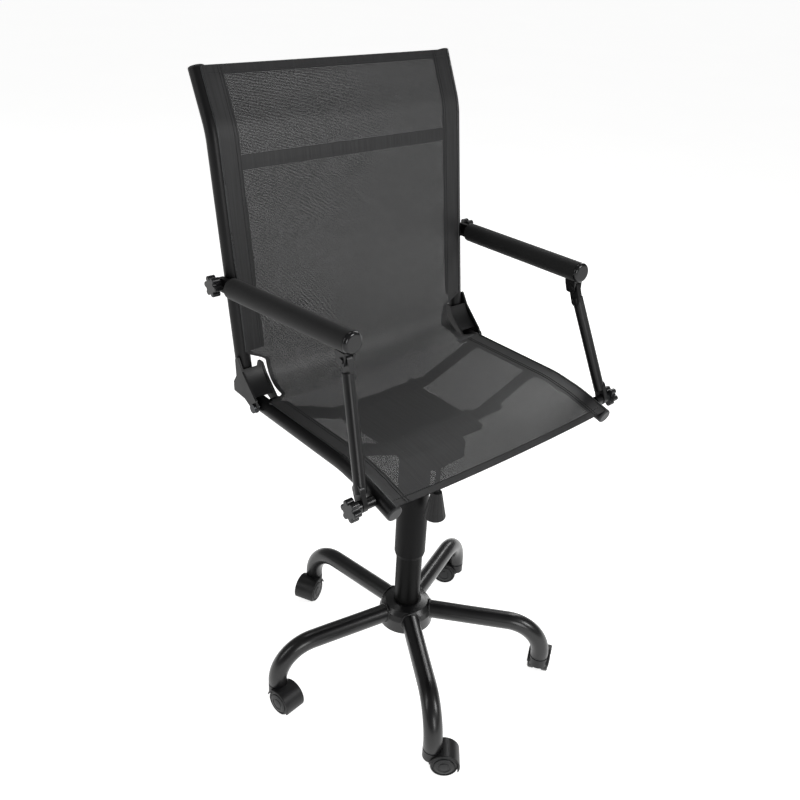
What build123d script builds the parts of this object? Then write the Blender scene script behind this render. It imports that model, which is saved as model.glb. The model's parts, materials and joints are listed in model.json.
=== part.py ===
from build123d import *
import math
import os

# Swivel chair for a hunting blind: a mesh sling on a folding tube frame, on a gas lift and five castors.
# Millimetres. The origin is on the floor under the column. The sitter faces -Y and sits above +Z.
# "left" is the sitter's left hand, +X.

# Heights of the frame, column and hub are given above a level this far below the floor.
FRAME_DROP = 8.0

# Star base
LEG_COUNT = 5
FIRST_LEG_ANGLE = -120.0
SOCKET_RADIUS = 275.0
LEG_TUBE = 35.0
LEG_WALL = 1.6
LEG_HUB_Z = 143.0
LEG_END_Z = 62.0
LEG_BEND = 76.0
HUB_RADIUS = 53.0
HUB_BOTTOM_Z = 118.0
HUB_SHOULDER_Z = 150.0
HUB_TOP_Z = 166.0
HUB_WALL = 3.0

# Twin-wheel castors
WHEEL_RADIUS = 25.0
WHEEL_WIDTH = 14.5
WHEEL_GAP = 15.0
CASTOR_TRAIL = 22.0
AXLE_RADIUS = 3.0
STEM_RADIUS = 5.5
HOOD_RADIUS = 28.5
HOOD_INNER = 26.3
HOOD_WIDTH = 44.0
HOOD_TOP_Z = 49.6
CASTOR_HEADINGS = (-42.0, 33.0, 130.0, -155.0, -82.0)

# Gas lift column
TUBE_RADIUS = 25.0
TUBE_WALL = 2.0
TUBE_BOTTOM_Z = 108.0
TUBE_TOP_Z = 390.0
CYLINDER_RADIUS = 14.0
CYLINDER_BOTTOM_Z = 255.0
CYLINDER_TOP_Z = 549.0
ROD_RADIUS = 5.0
COVER_RADIUS = 29.5
COVER_BOTTOM_Z = 278.0
COVER_TOP_Z = 524.0

# Tilt mechanism
HOUSING_HALF = 40.0
HOUSING_FRONT_Y = -85.0
HOUSING_REAR_Y = 35.0
HOUSING_BOTTOM_Z = 525.0
HOUSING_TOP_Z = 558.0
SHEET = 2.5
TILT_Y = 28.0
TILT_Z = 545.0
TENSION_Y = -60.0
KNOB_BOTTOM_Z = 397.0
KNOB_TOP_Z = 453.0
LEVER_Z = 556.2
LEVER_RADIUS = 3.5
PLATE_BOTTOM_Z = 561.0
PLATE_TOP_Z = 565.0
PLATE_HALF = 95.0

# Seat frame
RAIL_X = 240.0
RAIL_Z = 626.0
FRAME_TUBE = 26.0
FRAME_WALL = 1.6
RAIL_REAR_Y = 150.0
RAIL_FRONT = (-216.0, 602.0)
CROSSBAR_TUBE = 20.0
CROSSBAR_YS = (-50.0, 100.0)
CROSSBAR_FLAT = 104.0
BOLT_X = 70.0

# Folding linkage: four parallel pivot lines along X, given as (y, z)
FOLD_PIVOT = (120.0, 627.0)
STRUT_FOOT = (-184.0, 611.0)
ARM_PIVOT = (196.0, 822.0)
STRUT_TOP = (
    ARM_PIVOT[0] + STRUT_FOOT[0] - FOLD_PIVOT[0],
    ARM_PIVOT[1] + STRUT_FOOT[1] - FOLD_PIVOT[1],
)
STUD_RADIUS = 4.0
RUNNING = 0.05

# Back frame
UPRIGHT_FOOT = (243.0, 170.0, 640.0)
UPRIGHT_BEND = (248.0, 228.0, 1053.0)
UPRIGHT_TOP = (249.0, 267.0, 1138.0)
BACK_BAR_TUBE = 22.0
BACK_BAR = (220.5, 1003.0)
BRACKET_X = 256.2
BRACKET_SHEET = 3.8
INNER_CHEEK_X = 215.2
INNER_CHEEK_SPACER = (172.0, 652.0)

# Sling
CLOTH = 2.0
CLOTH_HALF = 226.0

# Arms
ARM_TUBE = 22.0
GRIP_RADIUS = 17.0
ARM_FRONT = (245.0, -116.0, 834.0)
ARM_TAB_X = (261.0, 269.0)
STRUT_TUBE = 19.0
STRUT_FOOT_X = (269.0, 277.0)
STRUT_TOP_X = (242.0, 252.0)
KNOB_RADIUS = 17.5
KNOB_LOBES = 6

parts = {}


def keep(name, shape, drop=FRAME_DROP):
    """Names one piece of the chair and sets it at its height above the floor."""
    solids = [Pos(0, 0, -drop) * solid for solid in shape.solids()]
    parts[name] = solids[0] if len(solids) == 1 else Compound(children=solids)
    parts[name].label = name


def rod(start, end, radius):
    """A round bar between two points."""
    axis = Vector(*end) - Vector(*start)
    return extrude(Plane(origin=start, z_dir=axis) * Circle(radius), amount=axis.length)


def pipe(start, end, radius, bore):
    """A straight tube between two points."""
    return rod(start, end, radius) - rod(start, end, bore)


def swept_bar(path, radius):
    """A round bar along a path."""
    return sweep(Plane(origin=path @ 0, z_dir=path % 0) * Circle(radius), path=path)


def swept_tube(path, diameter, wall):
    """A round tube along a path."""
    ring = Circle(diameter / 2) - Circle(diameter / 2 - wall)
    return sweep(Plane(origin=path @ 0, z_dir=path % 0) * ring, path=path)


def upright_cylinder(radius, low, high):
    """A cylinder about the column axis between two heights."""
    return Pos(0, 0, low) * Cylinder(radius, high - low, align=(Align.CENTER, Align.CENTER, Align.MIN))


def block(low, high):
    """A box between two corners."""
    size = [b - a for a, b in zip(low, high)]
    return Pos(*low) * Box(*size, align=(Align.MIN, Align.MIN, Align.MIN))


def turned(points):
    """A solid turned about the column axis from (radius, height) points."""
    return revolve(Plane.XZ * make_face(Polyline(*points, close=True)), Axis.Z)


def side_plate(outline, x_low, x_high):
    """A plate square to X, cut to a face drawn in (y, z)."""
    plane = Plane(origin=(x_low, 0, 0), x_dir=(0, 1, 0), z_dir=(1, 0, 0))
    return extrude(plane * outline, amount=x_high - x_low)


def cross_pin(pivot, x_low, x_high, radius):
    """A round pin along X at a pivot given as (y, z)."""
    return rod((x_low, *pivot), (x_high, *pivot), radius)


def other_side(shape):
    """The mirrored twin on the sitter's right."""
    return mirror(shape, Plane.YZ)


def blade(pivot, toward, length, half_width, x_low, x_high):
    """The flattened, rounded end of a tube at a pivot, pointing at a second (y, z) point."""
    direction = Vector(toward[0] - pivot[0], toward[1] - pivot[1]).normalized()
    centre = Vector(*pivot) + direction * (length / 2)
    angle = math.degrees(math.atan2(direction.Y, direction.X))
    outline = Pos(centre.X, centre.Y) * Rot(0, 0, angle) * SlotCenterToCenter(length, 2 * half_width)
    return side_plate(outline, x_low, x_high)


def outer_rim(shape, beyond):
    """The round edge nearest to a point."""
    return shape.edges().filter_by(GeomType.CIRCLE).sort_by_distance(beyond)[0]


def between(start, end, distance):
    """The point a distance along the line from start to end."""
    line = Vector(*end) - Vector(*start)
    return tuple(Vector(*start) + line.normalized() * distance)


# ---- star base ----

def leg_angle(index):
    return FIRST_LEG_ANGLE + index * 360.0 / LEG_COUNT


def leg_path():
    """Centre line of a leg in the XZ plane: nearly level out of the hub, then bent down to the castor."""
    return FilletPolyline(
        (29.5, 0, LEG_HUB_Z + 1),
        (SOCKET_RADIUS, 0, LEG_HUB_Z - 6),
        (SOCKET_RADIUS, 0, LEG_END_Z),
        radius=LEG_BEND - 2,
    )


def make_base():
    leg = swept_tube(leg_path(), LEG_TUBE, LEG_WALL)
    leg_envelope = swept_bar(leg_path(), LEG_TUBE / 2)
    hub = turned([
        (TUBE_RADIUS, HUB_BOTTOM_Z),
        (TUBE_RADIUS, HUB_TOP_Z),
        (TUBE_RADIUS + 4, HUB_TOP_Z),
        (HUB_RADIUS - 11, HUB_TOP_Z - 4),
        (HUB_RADIUS - 4, HUB_SHOULDER_Z + 4),
        (HUB_RADIUS, HUB_SHOULDER_Z - 6),
        (HUB_RADIUS, HUB_BOTTOM_Z),
        (HUB_RADIUS - HUB_WALL, HUB_BOTTOM_Z),
        (HUB_RADIUS - HUB_WALL, HUB_SHOULDER_Z - 6),
        (HUB_RADIUS - 7, HUB_SHOULDER_Z + 2),
        (HUB_RADIUS - 13, HUB_TOP_Z - 7),
        (TUBE_RADIUS + 4, HUB_TOP_Z - 4),
        (TUBE_RADIUS + 4, HUB_BOTTOM_Z),
    ])
    for index in range(LEG_COUNT):
        turn = Rot(0, 0, leg_angle(index))
        hub -= turn * leg_envelope
    for index in range(LEG_COUNT):
        turn = Rot(0, 0, leg_angle(index))
        keep(f"base_leg_{index + 1}", turn * leg - upright_cylinder(TUBE_RADIUS + 4, 100, 200))
    keep("base_hub", hub)


def make_sockets():
    """Bushes in the leg ends, and the steel stems that they grip."""
    bore = LEG_TUBE / 2 - LEG_WALL - RUNNING
    bush = upright_cylinder(bore, LEG_END_Z, LEG_END_Z + 3)
    bush += upright_cylinder(8.5, LEG_END_Z, LEG_END_Z + 30)
    bush += upright_cylinder(LEG_TUBE / 2 - 0.4, LEG_END_Z - 3, LEG_END_Z)
    bush -= upright_cylinder(STEM_RADIUS, 0, 200)
    stem = upright_cylinder(STEM_RADIUS, 31 + FRAME_DROP, LEG_END_Z + 30)
    stem += upright_cylinder(8, HOOD_TOP_Z + FRAME_DROP + RUNNING, LEG_END_Z - 3)
    places = [Rot(0, 0, leg_angle(i)) * Pos(SOCKET_RADIUS, 0, 0) for i in range(LEG_COUNT)]
    keep("stem_sockets", Compound(children=[place * bush for place in places]))
    keep("castor_stems", Compound(children=[place * stem for place in places]))


# ---- castors, drawn about their own swivel axis, trailing towards +X ----

def castor_hood():
    """Moulded hood: a fender over both wheels, a web between them, a barrel for the stem, and its axle."""
    centre = Pos(CASTOR_TRAIL, 0, WHEEL_RADIUS)
    on_side = Rot(90, 0, 0)
    fender = centre * on_side * (Cylinder(HOOD_RADIUS, HOOD_WIDTH) - Cylinder(HOOD_INNER, HOOD_WIDTH))
    fender = fillet(fender.edges().filter_by(GeomType.CIRCLE).sort_by(SortBy.RADIUS)[-2:], 2.0)
    web = centre * on_side * Cylinder(HOOD_INNER + 1, WHEEL_GAP - 1.4)
    below = Plane.XZ * make_face(Polyline(
        (-60, -40), (120, -40), (120, -6), (50, 14), (-8.5, 33), (-60, 33), close=True))
    fender -= extrude(below, amount=60, both=True)
    web_cut = Plane.XZ * make_face(Polyline(
        (-60, -40), (120, -40), (120, 10), (50, 14), (26, 17), (14, 20), (-8, 26), (-60, 26), close=True))
    web -= extrude(web_cut, amount=60, both=True)
    barrel = upright_cylinder(6.8, 26, HOOD_TOP_Z)
    collar = upright_cylinder(LEG_TUBE / 2, 30, HOOD_TOP_Z)
    hood = fender + web + barrel + collar
    hood -= upright_cylinder(LEG_TUBE / 2 + 0.5, HOOD_TOP_Z, HOOD_TOP_Z + 20)
    wheel_room = centre * on_side * (Cylinder(HOOD_INNER, 100) - Cylinder(HOOD_INNER, WHEEL_GAP - 1.4))
    hood -= wheel_room
    hood -= Pos(0, 0, 29) * Cylinder(STEM_RADIUS + RUNNING, 60, align=(Align.CENTER, Align.CENTER, Align.MIN))
    axle = centre * on_side * Cylinder(AXLE_RADIUS, HOOD_WIDTH - 8)
    return hood + axle


def castor_wheel(side):
    """One wheel: a tread, a dished outer face with a raised ring and cap, and a blind bore for the axle."""
    inner = WHEEL_GAP / 2
    outer = inner + WHEEL_WIDTH
    outline = Polyline(
        (AXLE_RADIUS + RUNNING, inner),
        (WHEEL_RADIUS - 1.5, inner),
        (WHEEL_RADIUS, inner + 1.5),
        (WHEEL_RADIUS, outer - 4.5),
        (WHEEL_RADIUS - 1, outer - 2.5),
        (WHEEL_RADIUS - 3, outer - 1.6),
        (WHEEL_RADIUS - 4, outer - 3.2),
        (WHEEL_RADIUS - 6, outer - 3.2),
        (WHEEL_RADIUS - 7, outer - 1.4),
        (WHEEL_RADIUS - 12, outer - 0.4),
        (11.5, outer - 1.4),
        (9.5, outer - 1.4),
        (8.5, outer - 0.2),
        (4, outer + 0.2),
        (0, outer + 0.3),
        (0, outer - 3.8),
        (AXLE_RADIUS + RUNNING, outer - 3.8),
        close=True,
    )
    wheel = revolve(Plane.XZ * make_face(outline), Axis.Z)
    return Pos(CASTOR_TRAIL, 0, WHEEL_RADIUS) * Rot(-90 * side, 0, 0) * wheel


def make_castors():
    for index in range(LEG_COUNT):
        place = Rot(0, 0, leg_angle(index)) * Pos(SOCKET_RADIUS, 0, 0)
        place = Pos(place.position.X, place.position.Y, 0) * Rot(0, 0, CASTOR_HEADINGS[index])
        name = f"castor_{index + 1}"
        keep(f"{name}_hood", place * castor_hood(), drop=0)
        keep(f"{name}_wheel_a", place * castor_wheel(1), drop=0)
        keep(f"{name}_wheel_b", place * castor_wheel(-1), drop=0)


# ---- gas lift ----

def make_column():
    bore = TUBE_RADIUS - TUBE_WALL
    floor_z = TUBE_BOTTOM_Z + 5
    tube = upright_cylinder(TUBE_RADIUS, TUBE_BOTTOM_Z, TUBE_TOP_Z) - upright_cylinder(bore, floor_z, TUBE_TOP_Z)
    tube -= upright_cylinder(ROD_RADIUS + RUNNING, TUBE_BOTTOM_Z, floor_z)
    keep("outer_tube", tube)

    bush = upright_cylinder(bore, TUBE_TOP_Z - 60, TUBE_TOP_Z) + upright_cylinder(TUBE_RADIUS, TUBE_TOP_Z, TUBE_TOP_Z + 3)
    keep("guide_bush", bush - upright_cylinder(CYLINDER_RADIUS + RUNNING, 300, 500))

    groove_z = TUBE_BOTTOM_Z - 4
    piston_z = 375.0
    piston_rod = upright_cylinder(ROD_RADIUS, TUBE_BOTTOM_Z - 7, piston_z + 15)
    piston_rod += upright_cylinder(CYLINDER_RADIUS - 1.6 - RUNNING, piston_z, piston_z + 12)
    piston_rod += upright_cylinder(8, floor_z + 9, floor_z + 12)
    piston_rod -= upright_cylinder(10, groove_z, groove_z + 2) - upright_cylinder(ROD_RADIUS - 1, groove_z, groove_z + 2)
    keep("piston_rod", piston_rod)

    lower_race = upright_cylinder(13, floor_z, floor_z + 3)
    cage = upright_cylinder(12, floor_z + 3, floor_z + 6)
    upper_race = upright_cylinder(13, floor_z + 6, floor_z + 9)
    clip = upright_cylinder(9, groove_z, groove_z + 2)
    rings = [ring - upright_cylinder(ROD_RADIUS, 90, 140) for ring in (lower_race, cage, upper_race)]
    clip -= upright_cylinder(ROD_RADIUS - 1, 90, 140) + block((-1.5, 0, 90), (1.5, 12, 140))
    keep("rod_bearing", Compound(children=rings + [clip]))

    cylinder = upright_cylinder(CYLINDER_RADIUS, CYLINDER_BOTTOM_Z, CYLINDER_TOP_Z)
    cylinder -= upright_cylinder(CYLINDER_RADIUS - 1.6, CYLINDER_BOTTOM_Z + 14, CYLINDER_TOP_Z - 20)
    cylinder -= upright_cylinder(ROD_RADIUS + RUNNING, CYLINDER_BOTTOM_Z - 1, CYLINDER_BOTTOM_Z + 20)
    cylinder -= upright_cylinder(LEVER_RADIUS + RUNNING, CYLINDER_TOP_Z - 13, CYLINDER_TOP_Z + 1)
    keep("gas_cylinder", cylinder)

    cover = turned([
        (COVER_RADIUS - 2.5, COVER_BOTTOM_Z),
        (COVER_RADIUS - 2, COVER_BOTTOM_Z),
        (COVER_RADIUS, COVER_BOTTOM_Z + 7),
        (COVER_RADIUS, COVER_TOP_Z - 2),
        (COVER_RADIUS - 2, COVER_TOP_Z),
        (CYLINDER_RADIUS, COVER_TOP_Z),
        (CYLINDER_RADIUS, COVER_TOP_Z - 3),
        (COVER_RADIUS - 2.5, COVER_TOP_Z - 3),
    ])
    keep("column_cover", cover)
    keep("valve_button", upright_cylinder(LEVER_RADIUS, CYLINDER_TOP_Z - 9, CYLINDER_TOP_Z + 3))


# ---- tilt mechanism ----

def make_mechanism():
    outer = block((-HOUSING_HALF, HOUSING_FRONT_Y, HOUSING_BOTTOM_Z), (HOUSING_HALF, HOUSING_REAR_Y, HOUSING_TOP_Z))
    outer = fillet(outer.edges().filter_by(Axis.Z), 8)
    inner = block(
        (-HOUSING_HALF + SHEET, HOUSING_FRONT_Y + SHEET, HOUSING_BOTTOM_Z + SHEET),
        (HOUSING_HALF - SHEET, HOUSING_REAR_Y - SHEET, HOUSING_TOP_Z + 1),
    )
    housing = outer - fillet(inner.edges().filter_by(Axis.Z), 8 - SHEET)
    housing += upright_cylinder(19, HOUSING_BOTTOM_Z, CYLINDER_TOP_Z)
    housing -= upright_cylinder(CYLINDER_RADIUS, HOUSING_BOTTOM_Z, CYLINDER_TOP_Z)
    housing -= Pos(0, TENSION_Y, 0) * upright_cylinder(4.5 + RUNNING, HOUSING_BOTTOM_Z - 1, HOUSING_BOTTOM_Z + SHEET)
    housing -= cross_pin((TILT_Y, TILT_Z), -60, 60, 5)
    housing -= block((HOUSING_HALF - 4, -4.2, LEVER_Z - 5), (HOUSING_HALF + 1, 4.2, HOUSING_TOP_Z + 1))
    keep("mechanism_housing", housing)

    pin = cross_pin((TILT_Y, TILT_Z), -46, 46, 5)
    pin += cross_pin((TILT_Y, TILT_Z), -48, -44, 8)
    pin += cross_pin((TILT_Y, TILT_Z), 44, 48, 8)
    keep("tilt_pin", pin)

    spring = turned([
        (6.5, 0), (12, 0), (13.5, 2.5), (12, 5), (11, 6), (12, 7), (13.5, 9), (12, 11), (11, 12),
        (12, 13), (12, 16), (6.5, 16),
    ])
    spring_z = HOUSING_BOTTOM_Z + SHEET
    keep("tension_spring", Pos(0, TENSION_Y, spring_z) * spring)

    flutes = 12
    grip = Cone(21, 10, KNOB_TOP_Z - KNOB_BOTTOM_Z, align=(Align.CENTER, Align.CENTER, Align.MIN))
    grip = fillet(grip.edges().group_by(Axis.Z)[0], 4)
    lean = math.degrees(math.atan2(11, KNOB_TOP_Z - KNOB_BOTTOM_Z))
    for index in range(flutes):
        groove = Rot(0, 0, index * 360 / flutes) * Pos(21.8, 0, 4) * Rot(0, -lean, 0) * Cylinder(
            2.2, 70, align=(Align.CENTER, Align.CENTER, Align.MIN))
        grip -= groove
    knob = Pos(0, TENSION_Y, KNOB_BOTTOM_Z) * grip
    knob += Pos(0, TENSION_Y, 0) * upright_cylinder(4.5, KNOB_TOP_Z - 2, spring_z + 18)
    knob += Pos(0, TENSION_Y, 0) * (upright_cylinder(9, spring_z + 16.2, spring_z + 22))
    keep("tension_knob", knob)

    lever_path = FilletPolyline(
        (-5, 0, LEVER_Z), (52, 0, LEVER_Z), (88, 0, LEVER_Z - 18), (176, 0, LEVER_Z - 22), radius=10)
    lever = swept_bar(lever_path, LEVER_RADIUS)
    paddle = Pos(184, 0, LEVER_Z - 22) * extrude(SlotOverall(62, 24), amount=3, both=True)
    keep("lift_lever", lever + fillet(paddle.edges(), 1.5))


# ---- seat frame ----

def rail_path(side_x):
    return FilletPolyline(
        (side_x, RAIL_REAR_Y, RAIL_Z),
        (side_x, -98, RAIL_Z),
        (side_x, -152, RAIL_Z - 7.5),
        (side_x, *RAIL_FRONT),
        radius=[190, 190],
    )


def make_seat_frame():
    rail = swept_tube(rail_path(RAIL_X), FRAME_TUBE, FRAME_WALL)
    rail_envelope = swept_bar(rail_path(RAIL_X), FRAME_TUBE / 2)
    rail -= cross_pin(FOLD_PIVOT, 200, 280, STUD_RADIUS)
    rail -= cross_pin(STRUT_FOOT, 200, 280, STUD_RADIUS + RUNNING)
    keep("seat_rail_left", rail)
    keep("seat_rail_right", other_side(rail))

    bar_path = FilletPolyline(
        (-RAIL_X, 0, RAIL_Z - 6), (-222, 0, RAIL_Z - 7), (-CROSSBAR_FLAT, 0, PLATE_TOP_Z + CROSSBAR_TUBE / 2),
        (CROSSBAR_FLAT, 0, PLATE_TOP_Z + CROSSBAR_TUBE / 2), (222, 0, RAIL_Z - 7), (RAIL_X, 0, RAIL_Z - 6),
        radius=[34, 44, 44, 34],
    )
    bar = swept_tube(bar_path, CROSSBAR_TUBE, FRAME_WALL)
    bars = []
    for y in CROSSBAR_YS:
        coped = Pos(0, y, 0) * bar - rail_envelope - other_side(rail_envelope)
        for x in (-BOLT_X, BOLT_X):
            coped -= Pos(x, y, 0) * upright_cylinder(4, 500, 700)
        bars.append(coped.solids().sort_by(SortBy.VOLUME)[-1])
    keep("seat_crossbars", Compound(children=bars))

    plate = block((-PLATE_HALF, CROSSBAR_YS[0] - 25, PLATE_BOTTOM_Z), (PLATE_HALF, CROSSBAR_YS[1] + 25, PLATE_TOP_Z))
    plate = fillet(plate.edges().filter_by(Axis.Z), 14)
    ear_outline = make_face(Polyline(
        (TILT_Y - 18, PLATE_BOTTOM_Z + 1), (TILT_Y - 10, TILT_Z - 10), (TILT_Y + 10, TILT_Z - 10),
        (TILT_Y + 18, PLATE_BOTTOM_Z + 1), close=True))
    ear = side_plate(ear_outline, HOUSING_HALF + 0.5, HOUSING_HALF + 3.5)
    ear -= cross_pin((TILT_Y, TILT_Z), 30, 60, 5 + RUNNING)
    plate += ear + other_side(ear)
    for y in CROSSBAR_YS:
        for x in (-BOLT_X, BOLT_X):
            plate -= Pos(x, y, 0) * upright_cylinder(4, 500, 700)
    keep("seat_plate", plate)

    bolts = []
    for y in CROSSBAR_YS:
        for x in (-BOLT_X, BOLT_X):
            bolt = upright_cylinder(4, PLATE_BOTTOM_Z - 11, PLATE_TOP_Z + CROSSBAR_TUBE + 2)
            bolt += Pos(0, 0, PLATE_TOP_Z + CROSSBAR_TUBE) * extrude(RegularPolygon(7.5, 6), amount=5)
            bolt += Pos(0, 0, PLATE_BOTTOM_Z - 7) * extrude(RegularPolygon(7.5, 6), amount=7)
            bolts.append(Pos(x, y, 0) * bolt)
    pin = cross_pin(FOLD_PIVOT, INNER_CHEEK_X - 4, BRACKET_X + BRACKET_SHEET + 3.5, STUD_RADIUS)
    pin += cross_pin(FOLD_PIVOT, INNER_CHEEK_X - 4, INNER_CHEEK_X - 0.2, 7.5)
    pin += cross_pin(FOLD_PIVOT, INNER_CHEEK_X + BRACKET_SHEET + 0.1, RAIL_X - FRAME_TUBE / 2, 7)
    pin += cross_pin(FOLD_PIVOT, RAIL_X + FRAME_TUBE / 2, BRACKET_X - 0.1, 7)
    pin += cross_pin(FOLD_PIVOT, BRACKET_X + BRACKET_SHEET + 0.2, BRACKET_X + BRACKET_SHEET + 4, 8)
    keep("seat_fasteners", Compound(children=bolts + [pin, other_side(pin)]))

    bore = FRAME_TUBE / 2 - FRAME_WALL
    path = rail_path(RAIL_X)
    plugs = []
    for place, direction in ((path @ 0, (path % 0) * -1), (path @ 1, path % 1)):
        face = Plane(origin=place, z_dir=direction)
        plug = extrude(face * Circle(bore), amount=-14)
        cap = extrude(face * Circle(FRAME_TUBE / 2), amount=4)
        plug += fillet(outer_rim(cap, place + direction * 40), 3)
        plugs.append(plug)
        plugs.append(other_side(plug))
    keep("rail_plugs", Compound(children=plugs))

    top = RAIL_Z + 10
    cloth = make_face(Polyline(
        (96, top), (-98, top), (-152, top - 7.5), (-219, 611.5), (-219, 611.5 - CLOTH), (-153, top - 7.5 - CLOTH),
        (-99, top - CLOTH), (96, top - CLOTH), close=True))
    keep("seat_sling", side_plate(cloth, -CLOTH_HALF, CLOTH_HALF))


# ---- folding back ----

def make_back():
    path = FilletPolyline(UPRIGHT_FOOT, UPRIGHT_BEND, UPRIGHT_TOP, radius=120)
    upright = swept_tube(path, FRAME_TUBE, FRAME_WALL)
    envelope = swept_bar(path, FRAME_TUBE / 2)
    upright -= cross_pin(ARM_PIVOT, 200, 280, STUD_RADIUS + RUNNING)
    keep("back_upright_left", upright)
    keep("back_upright_right", other_side(upright))

    reach = UPRIGHT_BEND[0]
    bar = pipe((-reach, *BACK_BAR), (reach, *BACK_BAR), BACK_BAR_TUBE / 2, BACK_BAR_TUBE / 2 - FRAME_WALL)
    bar = bar - envelope - other_side(envelope)
    keep("back_crossbar", bar.solids().sort_by(SortBy.VOLUME)[-1])

    outer = make_face(Polyline(
        (113, 621), (120, 618.5), (133, 624), (150, 632), (183, 634), (183, 651), (174, 665), (176, 694), (170, 703),
        (155, 679), (116, 641), (111.5, 630), close=True))
    outer_cheek = side_plate(fillet(outer.vertices(), 2.5), BRACKET_X, BRACKET_X + BRACKET_SHEET)
    inner = make_face(Polyline(
        (113, 621), (120, 618.5), (133, 624), (150, 632), (182, 636), (182, 651), (172, 684), (160, 684),
        (149, 668), (118, 637), (111.5, 630), close=True))
    inner_cheek = side_plate(fillet(inner.vertices(), 2.5), INNER_CHEEK_X, INNER_CHEEK_X + BRACKET_SHEET)
    inner_cheek += cross_pin(INNER_CHEEK_SPACER, INNER_CHEEK_X + BRACKET_SHEET, UPRIGHT_FOOT[0], 6)
    cheeks = []
    for cheek in (outer_cheek, inner_cheek):
        cut = cheek - cross_pin(FOLD_PIVOT, 200, 280, STUD_RADIUS + RUNNING) - envelope
        cheeks += [cut, other_side(cut)]
    keep("hinge_brackets", Compound(children=cheeks))

    bore = FRAME_TUBE / 2 - FRAME_WALL
    plugs = []
    for place, direction in ((path @ 0, (path % 0) * -1), (path @ 1, path % 1)):
        face = Plane(origin=place, z_dir=direction)
        plug = extrude(face * Circle(bore), amount=-14)
        cap = extrude(face * Circle(FRAME_TUBE / 2), amount=3)
        plug += fillet(outer_rim(cap, place + direction * 40), 2)
        plugs.append(plug)
        plugs.append(other_side(plug))
    keep("upright_plugs", Compound(children=plugs))

    lean = (UPRIGHT_BEND[1] - UPRIGHT_FOOT[1]) / (UPRIGHT_BEND[2] - UPRIGHT_FOOT[2])
    front = -FRAME_TUBE / 2 - 1
    low_z = 706.0
    low_y = UPRIGHT_FOOT[1] + lean * (low_z - UPRIGHT_FOOT[2]) + front
    bend_y = UPRIGHT_BEND[1] + front
    top_y = UPRIGHT_TOP[1] + front - 1
    cloth = make_face(Polyline(
        (low_y, low_z), (bend_y, UPRIGHT_BEND[2]), (top_y, UPRIGHT_TOP[2] + 2),
        (top_y - CLOTH, UPRIGHT_TOP[2] + 3), (bend_y - CLOTH, UPRIGHT_BEND[2] + 1), (low_y - CLOTH, low_z), close=True))
    keep("back_sling", side_plate(cloth, -CLOTH_HALF, CLOTH_HALF))


# ---- arms and struts ----

def star_knob(pivot, x_root, x_face, stud_end_x):
    """Star knob with its moulded-in stud, turning about X."""
    star = Circle(12.5)
    for index in range(KNOB_LOBES):
        star += Rot(0, 0, index * 360 / KNOB_LOBES) * Pos(KNOB_RADIUS - 5, 0) * Circle(5)
    star = Pos(*pivot) * star
    head = side_plate(star, x_face, x_face + 13)
    head = fillet(head.faces().sort_by(Axis.X)[-1].edges(), 1.5)
    return head + cross_pin(pivot, x_root, x_face, 9) + cross_pin(pivot, stud_end_x, x_root, STUD_RADIUS)


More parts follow.
